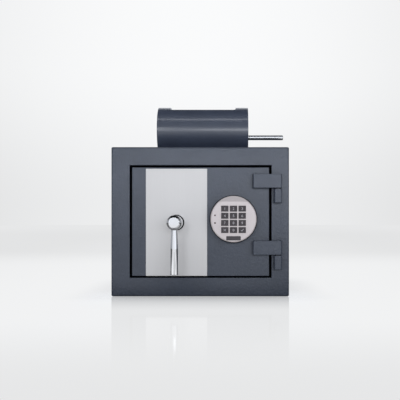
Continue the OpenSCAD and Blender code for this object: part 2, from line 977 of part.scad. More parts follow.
module keypad_base() {
    color(black)
        at_front() {
            bar_y(keypad_x, keypad_z, base_front, door_front, keypad_d + 2 * base_rim);
            for (x = post_xs, z = post_zs)
                bar_y(keypad_x + x, keypad_z + z, board_back, door_front, board_post_d);
        }
}

// The cover's outside, a disc with a round front edge, its back at zero
module cover_form(h) {
    r = keypad_d / 2;
    rotate_extrude()
        intersection() {
            union() {
                square([r, h - cover_r]);
                square([r - cover_r, h]);
                translate([r - cover_r, h - cover_r])
                    circle(cover_r);
            }
            square([r, h]);
        }
}

module keypad_cover() {
    h = base_front - face_y;
    color(silver)
        at_front()
            difference() {
                union() {
                    difference() {
                        translate([keypad_x, base_front, keypad_z])
                            rotate([90, 0, 0])
                                cover_form(h);
                        translate([keypad_x, face_y, keypad_z + crease_z])
                            rotate([-crease_angle, 0, 0])
                                translate([-keypad_d, -keypad_d, 0])
                                    cube([2 * keypad_d, keypad_d, keypad_d]);
                    }
                    translate([keypad_x, 0, keypad_z + keys_up])
                        along_y(face_y - panel_t, face_y + past)
                            round_rect(panel_w, panel_h, 2);
                }
                bar_y(keypad_x, keypad_z, face_in, base_front + past, keypad_d - 2 * cover_wall);
                for (i = [0:11])
                    translate([key_x(i), 0, key_z(i)])
                        along_y(face_y - panel_t - past, face_in + past)
                            square([key_w + 2 * key_clear, key_h + 2 * key_clear], center = true);
                for (s = [-1, 1])
                    bar_y(keypad_x - lens_left, keypad_z + s * lens_dz / 2,
                        face_y - past, face_in + past, lens_d + pin_fit);
            }
}

module keypad_badge() {
    color(dark)
        at_front()
            translate([keypad_x, 0, keypad_z - badge_down])
                along_y(face_y - badge_t, face_y)
                    round_rect(badge_w, badge_h, 1.5);
}

module status_lenses() {
    color(lens_red)
        at_front()
            for (s = [-1, 1])
                bar_y(keypad_x - lens_left, keypad_z + s * lens_dz / 2,
                    face_y - 0.4, face_in, lens_d);
}

module key_mat() {
    color(black)
        at_front()
            translate([keypad_x, 0, keypad_z])
                along_y(mat_front, mat_front + mat_t)
                    round_rect(panel_w, panel_h, 2);
}

module circuit_board() {
    color(green)
        at_front()
            translate([keypad_x, 0, keypad_z])
                along_y(mat_front + mat_t, board_back)
                    round_rect(panel_w, panel_h + 4, 2);
}

module keypad_cable() {
    color(black)
        at_front()
            bar_y(keypad_x, keypad_z + cable_up, door_front, hard_back, cable_d);
}

// One key, with the flange that keeps it behind the face
module key_cap(name) {
    i = search([name], KEYS)[0];
    key_front = face_y - panel_t - key_proud;
    flange_front = face_in + slide_gap;
    color(dark)
        at_front()
            translate([key_x(i), 0, key_z(i)]) {
                along_y(key_front, flange_front + key_flange_t)
                    round_rect(key_w, key_h, 1.2);
                along_y(flange_front, flange_front + key_flange_t)
                    square([key_w + 2 * key_flange, key_h + 2 * key_flange], center = true);
            }
}

// Bolt work

module bolt_bar() {
    overhang = 16;
    bar_half = 0.55 * bolt_d;
    color(steel)
        at_front()
            difference() {
                block([bar_x0, bar_x1], [bolt_y - bar_half, bolt_y + bar_half],
                    [bolt_zs[0] - overhang, bolt_zs[2] + overhang]);
                for (z = bolt_zs)
                    bar_x(bolt_y, z, bar_x0 - past, bar_x1 + past, bolt_screw_d + 2 * shaft_fit);
            }
}

// The crank's pin moves the arm by a slot, and two notches take the lock's bolt
module drive_arm() {
    slot_x = spindle_x + bolt_throw / 2;
    slot_top = crank_z + yoke_half;
    slot_bottom = spindle_z - crank_r - yoke_half;
    color(steel)
        at_front()
            difference() {
                union() {
                    block([bar_x1, arm_x1], [arm_front, arm_back], [arm_z0, arm_z1]);
                    block([slot_x - yoke_half - 3 * yoke_wall, slot_x + yoke_half + 2 * yoke_wall],
                        [arm_front, arm_back],
                        [slot_bottom - yoke_wall, slot_top + yoke_wall]);
                }
                translate([slot_x, 0, (slot_top + slot_bottom) / 2])
                    along_y(arm_front - past, arm_back + past)
                        round_rect(2 * yoke_half, slot_top - slot_bottom, yoke_half - 0.1);
                for (x = [lock_x, lock_x + bolt_throw])
                    block([x - notch_w / 2, x + notch_w / 2],
                        [arm_front - past, arm_back + past],
                        [arm_z1 - lock_throw, arm_z1 + past]);
            }
}

module locking_bolts() {
    tip = 1.5;
    color(chrome)
        at_front()
            for (z = bolt_zs)
                difference() {
                    union() {
                        bar_x(bolt_y, z, bolt_tip + tip, bar_x0, bolt_d);
                        translate([bolt_tip, bolt_y, z])
                            rotate([0, 90, 0])
                                cylinder(d1 = bolt_d - 2 * tip, d2 = bolt_d, h = tip);
                    }
                    bar_x(bolt_y, z, bar_x0 - bolt_screw_depth, bar_x0 + past, bolt_screw_d + pin_fit);
                }
}

module bolt_screws() {
    color(zinc)
        at_front()
            for (z = bolt_zs) {
                bar_x(bolt_y, z, bar_x1, bar_x1 + bolt_head_t, bolt_head_d);
                bar_x(bolt_y, z, bar_x0 - bolt_screw_depth + 2, bar_x1 + past, bolt_screw_d);
            }
}

// Lever handle, its spindle and its crank

module handle_hub() {
    socket = 8;
    spindle_depth = 34;
    color(chrome)
        at_front()
            difference() {
                union() {
                    bar_y(spindle_x, spindle_z, hub_front + hub_chamfer, hub_back, hub_d);
                    translate([spindle_x, hub_front + hub_chamfer, spindle_z])
                        rotate([90, 0, 0])
                            cylinder(d1 = hub_d, d2 = hub_flat_d, h = hub_chamfer);
                }
                bar_y(spindle_x, spindle_z, hub_back - spindle_depth, hub_back + past, spindle_d + pin_fit);
                translate([spindle_x, lever_y, spindle_z - hub_d])
                    cylinder(d = lever_neck_d + pin_fit, h = hub_d / 2 + socket);
            }
}

module lever_arm() {
    tip = 1;
    socket = 7.9;
    color(chrome)
        at_front()
            translate([spindle_x, lever_y, spindle_z]) {
                translate([0, 0, -taper_start])
                    cylinder(d = lever_neck_d, h = taper_start - hub_d / 2 + socket);
                translate([0, 0, -taper_end])
                    cylinder(d1 = lever_d, d2 = lever_neck_d, h = taper_end - taper_start);
                translate([0, 0, -lever_len + tip])
                    cylinder(d = lever_d, h = lever_len - taper_end - tip);
                translate([0, 0, -lever_len])
                    cylinder(d1 = lever_d - 2 * tip, d2 = lever_d, h = tip);
            }
}

module handle_spindle() {
    spindle_depth = 33;
    color(steel)
        at_front()
            bar_y(spindle_x, spindle_z, hub_back - spindle_depth, spindle_back, spindle_d);
}

// A bush with a thin flange under the hub
module spindle_bush() {
    color(black)
        at_front()
            difference() {
                union() {
                    bar_y(spindle_x, spindle_z, fascia_front - past, door_back, spindle_bush_d - pin_fit);
                    bar_y(spindle_x, spindle_z, fascia_front - 1, fascia_front, hub_d - 6);
                }
                bar_y(spindle_x, spindle_z, fascia_front - 2 * past, door_back + past, spindle_d + shaft_fit);
            }
}

module drive_crank() {
    eye = 2.2 * spindle_d;
    link_w = 1.5 * crank_pin_d;
    color(steel)
        at_front()
            difference() {
                union() {
                    bar_y(spindle_x, spindle_z, hard_back + slide_gap, crank_back, eye);
                    along_y(crank_front, crank_back) {
                        translate([crank_x, crank_z])
                            circle(d = 2 * crank_pin_d);
                        translate([(spindle_x + crank_x) / 2, (spindle_z + crank_z) / 2])
                            rotate(-45)
                                square([crank_r, link_w], center = true);
                    }
                }
                bar_y(spindle_x, spindle_z, hard_back, crank_back + past, spindle_d + pin_fit);
                bar_y(crank_x, crank_z, crank_front - past, crank_back + past, crank_pin_d + pin_fit);
            }
}

module crank_pin() {
    color(steel)
        at_front()
            bar_y(crank_x, crank_z, crank_front, arm_back + 2, crank_pin_d);
}

module spindle_clip() {
    color(zinc)
        at_front()
            difference() {
                bar_y(spindle_x, spindle_z, crank_back, crank_back + clip_t, spindle_d + 7);
                bar_y(spindle_x, spindle_z, crank_back - past, crank_back + clip_t + past,
                    spindle_d + pin_fit);
            }
}

body_shell();
back_plate();
front_frame();
rebate_frame();
drum_housing();
housing_end_left();
housing_end_right();
drum_bushes();
chute_collar();
baffle_plates();
hinge_knuckles();
hinge_pins();
hinge_washers();
drum_shell();
drum_disc_left();
drum_disc_right();
drum_rod();
rod_nut();
door_plate();
fascia_panel();
hinge_leaves();
bolt_box();
box_cover();
cover_screws();
dog_bolts();
hard_plate();
arm_guide();
lock_case();
keypad_base();
keypad_cover();
keypad_badge();
status_lenses();
key_mat();
circuit_board();
keypad_cable();
spindle_bush();
bolt_bar();
drive_arm();
locking_bolts();
bolt_screws();
handle_hub();
lever_arm();
handle_spindle();
drive_crank();
crank_pin();
spindle_clip();
lock_bolt();
key_cap("key_1");  // key_1
key_cap("key_2");  // key_2
key_cap("key_3");  // key_3
key_cap("key_4");  // key_4
key_cap("key_5");  // key_5
key_cap("key_6");  // key_6
key_cap("key_7");  // key_7
key_cap("key_8");  // key_8
key_cap("key_9");  // key_9
key_cap("key_clear");  // key_clear
key_cap("key_0");  // key_0
key_cap("key_enter");  // key_enter
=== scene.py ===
import json
import math

import bmesh
import bpy
from mathutils import Matrix, Vector

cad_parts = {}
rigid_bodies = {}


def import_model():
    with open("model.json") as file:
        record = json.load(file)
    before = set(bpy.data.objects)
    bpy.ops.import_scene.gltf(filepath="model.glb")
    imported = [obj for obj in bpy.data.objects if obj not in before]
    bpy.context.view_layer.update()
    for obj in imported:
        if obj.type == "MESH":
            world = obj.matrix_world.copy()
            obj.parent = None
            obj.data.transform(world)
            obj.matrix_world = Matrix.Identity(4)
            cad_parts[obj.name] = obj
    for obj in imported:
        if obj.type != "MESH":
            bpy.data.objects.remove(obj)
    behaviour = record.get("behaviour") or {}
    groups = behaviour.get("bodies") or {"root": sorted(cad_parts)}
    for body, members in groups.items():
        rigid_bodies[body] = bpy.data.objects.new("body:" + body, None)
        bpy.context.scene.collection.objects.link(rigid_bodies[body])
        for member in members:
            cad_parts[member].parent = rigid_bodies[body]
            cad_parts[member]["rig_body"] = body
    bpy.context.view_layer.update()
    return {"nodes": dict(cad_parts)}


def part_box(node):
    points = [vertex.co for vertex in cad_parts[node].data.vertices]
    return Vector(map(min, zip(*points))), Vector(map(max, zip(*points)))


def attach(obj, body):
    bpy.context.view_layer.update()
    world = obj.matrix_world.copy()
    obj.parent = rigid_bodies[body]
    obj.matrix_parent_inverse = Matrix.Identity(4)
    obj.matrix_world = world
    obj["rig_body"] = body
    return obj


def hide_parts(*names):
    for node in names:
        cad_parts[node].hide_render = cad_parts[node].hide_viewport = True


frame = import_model()
nodes = frame["nodes"]
home_of = {name: node["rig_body"] for name, node in nodes.items()}

# The picture's frame, in pixels and metres. The foot is the pixel straight ahead of the eye.
IMAGE_SIDE = 400
FOOT_X = 230
FOOT_Y = 216
VIEW_DISTANCE = 1.5
METRES_PER_PIXEL = 0.0022485
EYE_X = 0.0671
EYE_Z = 0.1808
SENSOR = 36
FAR_CLIP = 50

CABINET_HALF_WIDTH = 0.2
CABINET_HALF_DEPTH = 0.19


# Shader values


class Wire:
    """One output of a shader node. Arithmetic with it adds Math nodes.

    Without a socket it is only a place to start a tree from.
    """

    def __init__(self, tree, socket=None):
        self.tree = tree
        self.socket = socket

    def node(self, kind, settings=None, sockets=None, out=0):
        """Adds a node, makes its settings first, then gives its sockets their values or wires."""
        made = self.tree.nodes.new(kind)
        for name, value in (settings or {}).items():
            setattr(made, name, value)
        for name, value in (sockets or {}).items():
            if isinstance(value, Wire):
                self.tree.links.new(value.socket, made.inputs[name])
            else:
                made.inputs[name].default_value = value
        return Wire(self.tree, made.outputs[out])

    def output(self, name):
        """Another output of the same node."""
        return Wire(self.tree, self.socket.node.outputs[name])

    def math(self, operation, first, second=0.0):
        return self.node("ShaderNodeMath", {"operation": operation}, {0: first, 1: second})

    def __add__(self, other):
        return self.math("ADD", self, other)

    def __radd__(self, other):
        return self.math("ADD", other, self)

    def __sub__(self, other):
        return self.math("SUBTRACT", self, other)

    def __rsub__(self, other):
        return self.math("SUBTRACT", other, self)

    def __mul__(self, other):
        return self.math("MULTIPLY", self, other)

    def __rmul__(self, other):
        return self.math("MULTIPLY", other, self)

    def __truediv__(self, other):
        return self.math("DIVIDE", self, other)

    def __pow__(self, other):
        return self.math("POWER", self, other)


def fade(value, start, end, low=0.0, high=1.0):
    """A smooth step from low to high as value runs from start to end."""
    return value.node(
        "ShaderNodeMapRange",
        {"interpolation_type": "SMOOTHSTEP"},
        {"Value": value, "From Min": start, "From Max": end, "To Min": low, "To Max": high},
    )


def blend_colour(share, first, second):
    """The first colour where share is 0 and the second where it is 1."""
    return share.node("ShaderNodeMix", {"data_type": "RGBA"}, {0: share, 6: first, 7: second}, out=2)


def grain(place, size, detail=2.0, roughness=0.5, stretch=(1, 1, 1), shift=(0, 0, 0)):
    """Noise of a given size in metres, drawn out along the axes whose stretch is small."""
    spread = place.node(
        "ShaderNodeMapping", None, {"Vector": place, "Scale": stretch, "Location": shift}
    )
    return place.node(
        "ShaderNodeTexNoise",
        None,
        {"Vector": spread, "Scale": 1 / size, "Detail": detail, "Roughness": roughness},
    )


def tinted(colour, factor):
    """A colour made lighter or darker, and fully opaque."""
    return tuple(min(1.0, channel * factor) for channel in colour[:3]) + (1.0,)


def sRGB(red, green, blue):
    """A colour given as a screen shows it, 0 to 255, turned into the linear values that shaders use."""
    linear = []
    for channel in (red, green, blue):
        share = channel / 255
        linear.append(share / 12.92 if share <= 0.04045 else ((share + 0.055) / 1.055) ** 2.4)
    return tuple(linear) + (1.0,)


class Finish:
    """A new material with one Principled shader, whose parts are set or wired by name."""

    def __init__(self, name):
        self.material = bpy.data.materials.new(name)
        self.material.use_nodes = True
        self.tree = self.material.node_tree
        self.tree.nodes.clear()
        self.shader = self.tree.nodes.new("ShaderNodeBsdfPrincipled")
        output = self.tree.nodes.new("ShaderNodeOutputMaterial")
        self.tree.links.new(self.shader.outputs[0], output.inputs[0])
        self.place = Wire(self.tree).node("ShaderNodeTexCoord", out="Object")

    def set(self, **sockets):
        for name, value in sockets.items():
            target = self.shader.inputs[name.replace("_", " ")]
            if isinstance(value, Wire):
                self.tree.links.new(value.socket, target)
            else:
                target.default_value = value
        return self

    def bump(self, height, depth):
        """Makes height, 0 to 1, a relief of a depth in metres."""
        normal = height.node(
            "ShaderNodeBump", None, {"Strength": 1.0, "Distance": depth, "Height": height}
        )
        return self.set(Normal=normal)


# Finishes. Depths of relief are in metres.

COAT_RELIEF = 0.00054
METAL_RELIEF = 0.00002
MOULDED_RELIEF = 0.00003
FLAKE_RELIEF = 0.00001
TRACK_RELIEF = 0.00003
TRACK_PITCH = 0.0016
TRACK_RIPPLE = 0.004


def powder_coat(name, colour, roughness=0.25, index=1.6):
    """Powder coat: an orange-peel skin over a slow wave, with faint mottling and hazy patches."""
    finish = Finish(name)
    peel = grain(finish.place, 0.0011, detail=1.5)
    fine = grain(finish.place, 0.00035, detail=1.0)
    mottle = grain(finish.place, 0.035, detail=3.0, roughness=0.6)
    haze = grain(finish.place, 0.11, detail=2.0)
    tone = fade(mottle * 0.6 + fine * 0.4, 0.36, 0.64)
    finish.set(
        Base_Color=blend_colour(tone, tinted(colour, 0.92), tinted(colour, 1.09)),
        Roughness=roughness + haze * 0.08 + peel * 0.05,
        IOR=index,
        Specular_Tint=(0.89, 0.93, 1.0, 1.0),
    )
    wave = grain(finish.place, 0.007, detail=2.0, shift=(0.3, 0.1, 0.2))
    return finish.bump(peel * 0.30 + fine * 0.10 + wave * 0.60, COAT_RELIEF)


def brushed_metal(name, colour, roughness, stretch, metallic):
    """Metal with a fine grain that runs along the axis with the smallest stretch."""
    finish = Finish(name)
    lines = grain(finish.place, 0.0006, detail=3.0, roughness=0.65, stretch=stretch)
    broad = grain(finish.place, 0.006, detail=2.0, stretch=stretch)
    cloud = grain(finish.place, 0.08, detail=2.0)
    tone = fade(lines * 0.7 + broad * 0.3, 0.3, 0.7)
    finish.set(
        Base_Color=blend_colour(tone, tinted(colour, 0.985), tinted(colour, 1.01)),
        Metallic=metallic,
        Roughness=roughness - 0.03 + lines * 0.06 + cloud * 0.04,
    )
    return finish.bump(lines, METAL_RELIEF)


def polished(name, colour, roughness, stretch):
    """Bright metal with the faintest smears of handling."""
    finish = Finish(name)
    smear = grain(finish.place, 0.012, detail=4.0, roughness=0.6, stretch=stretch)
    finish.set(
        Base_Color=blend_colour(fade(smear, 0.4, 0.7), colour, tinted(colour, 0.97)),
        Metallic=1.0,
        Roughness=roughness + fade(smear, 0.5, 0.75) * 0.05,
    )
    return finish


def drawn_steel(name, colour, roughness):
    """Plain metal with a dull cloudy surface and small dark stains."""
    finish = Finish(name)
    cloud = grain(finish.place, 0.018, detail=4.0, roughness=0.6)
    speck = grain(finish.place, 0.0009, detail=2.0)
    stain = fade(cloud, 0.55, 0.72)
    finish.set(
        Base_Color=blend_colour(stain, colour, tinted(colour, 0.72)),
        Metallic=1.0,
        Roughness=roughness + cloud * 0.14 + speck * 0.06,
    )
    return finish.bump(speck, METAL_RELIEF)


def moulded(name, colour, roughness, size=0.0005, mottle=0.12, index=1.46):
    """Moulded plastic or rubber with a spark-eroded skin."""
    finish = Finish(name)
    skin = grain(finish.place, size, detail=1.5)
    cloud = grain(finish.place, 0.02, detail=2.0)
    finish.set(
        Base_Color=blend_colour(
            fade(cloud, 0.35, 0.65), tinted(colour, 1 - mottle), tinted(colour, 1 + mottle)
        ),
        Roughness=roughness + skin * 0.1,
        IOR=index,
    )
    return finish.bump(skin, MOULDED_RELIEF)


def silver_paint():
    """Warm silver paint with fine flake over a satin ground."""
    finish = Finish("silver_paint")
    flake = grain(finish.place, 0.00022, detail=1.0)
    cloud = grain(finish.place, 0.03, detail=2.0)
    ground = sRGB(193, 186, 187)
    tone = fade(flake * 0.8 + cloud * 0.2, 0.35, 0.65)
    finish.set(
        Base_Color=blend_colour(tone, tinted(ground, 0.93), tinted(ground, 1.05)),
        Metallic=0.35,
        Roughness=0.36 + flake * 0.08,
        IOR=1.5,
    )
    return finish.bump(flake, FLAKE_RELIEF)


def red_lens():
    """Dark red plastic of an unlit lens."""
    finish = Finish("red_lens")
    cloud = grain(finish.place, 0.0012, detail=2.0)
    dark = (0.030, 0.008, 0.007, 1.0)
    light = (0.055, 0.012, 0.010, 1.0)
    finish.set(
        Base_Color=blend_colour(fade(cloud, 0.4, 0.6), dark, light),
        Roughness=0.12 + cloud * 0.05,
    )
    return finish


def solder_mask():
    """Green board with tracks that show as paler lines."""
    finish = Finish("solder_mask")
    upward = finish.place.node("ShaderNodeSeparateXYZ", None, {0: finish.place}, out="Z")
    ripple = grain(finish.place, 0.010, detail=0.0)
    row = upward.math("PINGPONG", upward + ripple * TRACK_RIPPLE, TRACK_PITCH)
    track = fade(row, 0.0009, 0.0011)
    finish.set(
        Base_Color=blend_colour(track, (0.008, 0.055, 0.022, 1.0), (0.03, 0.15, 0.06, 1.0)),
        Roughness=0.3 + track * 0.1,
    )
    return finish.bump(track, TRACK_RELIEF)


COAT = powder_coat("slate_coat", sRGB(46, 53, 67)).material
# The drum housing has the body's paint, drawn lighter as painted light that stands in for stronger light
# on the drum
DRUM_COAT_PAINTED_LIGHT = powder_coat("drum_coat_painted_light", sRGB(59, 67, 85), roughness=0.44, index=1.62).set(
    Coat_Weight=0.9, Coat_Roughness=0.20
).material
INNER_COAT = powder_coat("inner_coat", sRGB(44, 49, 59), roughness=0.42).material
PANEL = brushed_metal(
    "brushed_panel", (0.572, 0.568, 0.572, 1.0), 0.46, stretch=(1, 1, 0.02), metallic=0.5
).material
CHROME = polished("bright_chrome", (0.79, 0.80, 0.83, 1.0), 0.045, stretch=(1, 1, 0.5)).material
STAINLESS = polished("polished_bar", (0.46, 0.47, 0.49, 1.0), 0.085, stretch=(0.3, 1, 1)).material
STEEL = drawn_steel("drawn_steel", (0.44, 0.44, 0.45, 1.0), 0.30).material
ZINC = drawn_steel("zinc_plate", (0.56, 0.57, 0.58, 1.0), 0.36).material
BRASS = drawn_steel("bearing_brass", (0.62, 0.44, 0.19, 1.0), 0.28).material
SILVER = silver_paint().material
KEY_RUBBER = moulded("key_rubber", sRGB(62, 57, 61), 0.52).material
BLACK_PLASTIC = moulded("black_plastic", (0.005, 0.005, 0.006, 1.0), 0.62, index=1.15).material
# The rebate is painted near-black: painted shade of the deep gap round the door
REBATE_PAINTED_SHADE = powder_coat("rebate_painted_shade", sRGB(4, 4, 5), roughness=0.75, index=1.12).material
# The hinge washers are painted near-black: painted shade in the gaps between the hinge knuckles
KNUCKLE_GAP_SHADE = drawn_steel("washer_painted_shade", (0.05, 0.05, 0.055, 1.0), 0.45).material
BADGE = moulded("badge_plate", sRGB(58, 53, 58), 0.30, size=0.0008).material
LENS = red_lens().material
BOARD = solder_mask().material
LEGEND_INK = moulded("legend_ink", sRGB(176, 172, 178), 0.5, mottle=0.05).material

FINISH_OF = {
    "powder_coat": COAT,
    "inner_coat": INNER_COAT,
    "brushed_panel": PANEL,
    "chrome": CHROME,
    "stainless": STAINLESS,
    "bare_steel": STEEL,
    "zinc_plate": ZINC,
    "brass": BRASS,
    "keypad_silver": SILVER,
    "key_rubber": KEY_RUBBER,
    "black_plastic": BLACK_PLASTIC,
    "badge_plate": BADGE,
    "status_lens": LENS,
    "circuit_board": BOARD,
}
KEYS = [
    "key_1", "key_2", "key_3", "key_4", "key_5", "key_6",
    "key_7", "key_8", "key_9", "key_clear", "key_0", "key_enter",
]
SLOT_OF = {
    "powder_coat": [
        "body_shell", "back_plate", "front_frame", "drum_housing", "housing_end_left",
        "housing_end_right", "hinge_knuckles", "hinge_leaves", "door_plate",
    ],
    "inner_coat": [
        "rebate_frame", "chute_collar", "baffle_plates", "bolt_box", "box_cover", "drum_shell",
        "drum_disc_left", "drum_disc_right",
    ],
    "brushed_panel": ["fascia_panel"],
    "chrome": ["handle_hub", "lever_arm", "locking_bolts"],
    "stainless": ["drum_rod", "hinge_pins"],
    "bare_steel": [
        "dog_bolts", "hard_plate", "bolt_bar", "drive_arm", "handle_spindle", "drive_crank",
        "crank_pin",
    ],
    "zinc_plate": ["rod_nut", "cover_screws", "bolt_screws", "spindle_clip", "lock_case"],
    "brass": ["drum_bushes", "hinge_washers", "arm_guide", "lock_bolt"],
    "keypad_silver": ["keypad_cover"],
    "key_rubber": KEYS + ["key_mat"],
    "black_plastic": ["keypad_base", "keypad_cable", "spindle_bush"],
    "badge_plate": ["keypad_badge"],
    "status_lens": ["status_lenses"],
    "circuit_board": ["circuit_board"],
}
slot_of_node = {node: slot for slot, members in SLOT_OF.items() for node in members}

# Nodes that look unlike their slot: both are painted near-black as painted shade, in the door gap and
# between the hinge knuckles
OWN_FINISH = {"rebate_frame": REBATE_PAINTED_SHADE, "hinge_washers": KNUCKLE_GAP_SHADE}


def dress_nodes():
    """Gives every CAD node the material of its slot, or its own."""
    for name, node in nodes.items():
        node.data.materials.clear()
        node.data.materials.append(OWN_FINISH.get(name, FINISH_OF[slot_of_node[name]]))


# Building pieces. Widths and distances are in metres, angles in degrees.

BEVEL_ANGLE = 32
SHARP_ANGLE = 30
TURNED_SHARP_ANGLE = 40
FLAT_ANGLE = 0.3
COPY_MERGE = 2e-6
MERGE = 1e-6

PLATE_EDGE = 0.0009
HOUSING_EDGE = 0.0006
END_EDGE = 0.0004
PANEL_EDGE = 0.0003
THIN_EDGE = 0.0002


def lay_down(name, bm, body, material, stands_for=(), sharp=SHARP_ANGLE):
    """Turns a bmesh into a piece that rides on a body."""
    mesh = bpy.data.meshes.new(name)
    bm.to_mesh(mesh)
    bm.free()
    mesh.materials.append(material)
    mesh.shade_smooth()
    mesh.set_sharp_from_angle(angle=math.radians(sharp))
    piece = bpy.data.objects.new(name, mesh)
    bpy.context.scene.collection.objects.link(piece)
    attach(piece, body)
    if stands_for:
        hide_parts(*stands_for)
    return piece


def round_edges(piece, width, segments):
    """Rounds the sharp edges of a piece and keeps its flat faces flat."""
    bevel = piece.modifiers.new("rounded_edges", "BEVEL")
    bevel.width = width
    bevel.segments = segments
    bevel.limit_method = "ANGLE"
    bevel.angle_limit = math.radians(BEVEL_ANGLE)
    bevel.harden_normals = True
    bevel.use_clamp_overlap = False
    bevel.loop_slide = False


def softened(node, width, segments=3, material=None):
    """A copy of a CAD node, merged and with round edges, that stands for it."""
    bm = bmesh.new()
    bm.from_mesh(nodes[node].data)
    bmesh.ops.remove_doubles(bm, verts=bm.verts, dist=COPY_MERGE)
    bmesh.ops.dissolve_limit(
        bm, angle_limit=math.radians(FLAT_ANGLE), verts=bm.verts, edges=bm.edges
    )
    slot = slot_of_node[node]
    piece = lay_down(node + "_finished", bm, home_of[node], material or FINISH_OF[slot], [node])
    round_edges(piece, width, segments)
    return piece


def arc(centre, radius, start, end, steps):
    """Points of an arc in a profile's plane, with angles in degrees."""
    angles = [math.radians(start + (end - start) * i / steps) for i in range(steps + 1)]
    return [
        (centre[0] + radius * math.cos(angle), centre[1] + radius * math.sin(angle))
        for angle in angles
    ]


def turned(profile, steps):
    """Spins a profile of radius and height about Z into a closed solid."""
    bm = bmesh.new()
    ring = [bm.verts.new((radius, 0, height)) for radius, height in profile]
    line = [bm.edges.new(pair) for pair in zip(ring, ring[1:])]
    bmesh.ops.spin(
        bm, geom=ring + line, cent=(0, 0, 0), axis=(0, 0, 1), angle=math.tau, steps=steps,
        use_merge=True, use_duplicate=False,
    )
    bmesh.ops.remove_doubles(bm, verts=bm.verts, dist=MERGE)
    bmesh.ops.recalc_face_normals(bm, faces=bm.faces)
    return bm


def set_in_place(bm, turn, place):
    """Turns and then moves a bmesh."""
    bmesh.ops.transform(bm, matrix=Matrix.Translation(place) @ turn, verts=bm.verts)
    return bm


FACING_FRONT = Matrix.Rotation(math.radians(90), 4, "X")
ALONG_X = Matrix.Rotation(math.radians(90), 4, "Y")
POINTING_DOWN = Matrix.Rotation(math.radians(180), 4, "X")


def middle(node):
    low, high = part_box(node)
    return (low + high) / 2


# Lever handle


def make_hub():
    """The hub: a polished drum with a broad chamfer round its flat front."""
    low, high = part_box("handle_hub")
    centre = middle("handle_hub")
    radius = (high.z - low.z) / 2
    length = high.y - low.y
    chamfer = 0.0048
    ease = 0.0006
    rim = 0.0012
    flat = radius - chamfer
    # How far the centres of the two eased corners lie from the chamfer's ends
    side_shift = ease * 0.6
    front_shift = ease * 0.4
    profile = [(0, 0), (radius - rim, 0), (radius, rim)]
    profile += [(radius, length - chamfer - 2 * ease)]
    profile += arc((radius - ease, length - chamfer - side_shift), ease, 0, 45, 4)
    profile += arc((flat - front_shift, length - ease), ease, 45, 90, 4)
    profile += [(flat - rim, length), (0, length)]
    bm = set_in_place(turned(profile, 128), FACING_FRONT, (centre.x, high.y, centre.z))
    lay_down(
        "handle_hub_turned", bm, "lever_handle", CHROME, ["handle_hub"], TURNED_SHARP_ANGLE
    )


def make_washer_and_shade():
    """A black washer on the back of the hub, just clear of the panel. Its black ring is partly painted
    shade, for the hub's contact shadow on the panel.
    """
    low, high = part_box("handle_hub")
    centre = middle("handle_hub")
    bore = 0.0105
    overhang = 0.0014
    edge = 0.0003
    clearance = 0.0002
    radius = (high.z - low.z) / 2 + overhang
    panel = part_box("fascia_panel")[0].y
    thickness = panel - high.y - clearance
    profile = [(bore, 0), (radius - edge, 0), (radius, edge), (radius, thickness), (bore, thickness)]
    bm = turned(profile + profile[:1], 96)
    set_in_place(bm, FACING_FRONT, (centre.x, panel - clearance, centre.z))
    lay_down("hub_washer_and_shade", bm, "lever_handle", BLACK_PLASTIC)


def make_lever():
    """The lever: a slim neck that swells into a straight grip with an eased end.

    Its grip is a little thicker than the solid's.
    """
    low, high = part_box("lever_arm")
    axis_z = middle("handle_hub").z
    centre = middle("lever_arm")
    thicker = 0.0003
    grip = (high.x - low.x) / 2 + thicker
    neck = 0.0067
    taper_start = 0.0185
    taper_end = 0.0565
    taper_steps = 20
    root = axis_z - high.z
    length = axis_z - low.z
    ease = 0.0011
    profile = [(0, root), (neck, root)]
    for i in range(taper_steps + 1):
        share = i / taper_steps
        curved = share * share * (3 - 2 * share)
        # Mostly a straight cone, with a little of the smooth step
        swell = share * 0.8 + curved * 0.2
        profile.append((neck + (grip - neck) * swell, taper_start + (taper_end - taper_start) * share))
    profile += arc((grip - ease, length - ease), ease, 0, 90, 6)
    profile += [(0, length)]
    bm = set_in_place(turned(profile, 96), POINTING_DOWN, (centre.x, centre.y, axis_z))
    lay_down(
        "lever_arm_turned", bm, "lever_handle", CHROME, ["lever_arm"], TURNED_SHARP_ANGLE
    )


# Drum rod


def make_rod():
    """The bar that turns the drum: ring grooves for the thread at its inner end, and an eased tip."""
    low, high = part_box("drum_rod")
    centre = middle("drum_rod")
    radius = (high.z - low.z) / 2
    length = high.x - low.x
    shoulder = 0.012
    ease = 0.0012
    thread = 0.83 * radius
    pitch = 0.0012
    groove = 0.0005
    lead_in = 0.0006
    edge = 0.0004
    # Shares of the pitch at which each ring's crest and its groove lie
    crest_at = 0.35
    groove_at = 0.85
    profile = [(0, 0), (thread - lead_in, 0)]
    for i in range(int(shoulder / pitch)):
        profile += [(thread, (i + crest_at) * pitch), (thread - groove, (i + groove_at) * pitch)]
    profile += [(thread, shoulder), (radius - edge, shoulder), (radius, shoulder + edge)]
    profile += arc((radius - ease, length - ease), ease, 0, 90, 6)
    profile += [(0, length)]
    bm = set_in_place(turned(profile, 64), ALONG_X, (low.x, centre.y, centre.z))
    lay_down(
        "drum_rod_turned", bm, "deposit_drum", STAINLESS, ["drum_rod"], TURNED_SHARP_ANGLE
    )


# Keypad

MARK_HEIGHT = 0.0058
MARK_DEPTH = 0.00012
# Share of a mark's depth that its middle lies in front of the key's face
MARK_LIFT = 0.3
FONT_SIZE = MARK_HEIGHT * 1.38
FONT_THICKENING = 0.00006
CROSS_STROKE = 0.0009
TICK_STROKE = 0.0010
KEY_EDGE = 0.0007
RIM_DEPTH = 0.0001
LENS_DOME = 0.0004


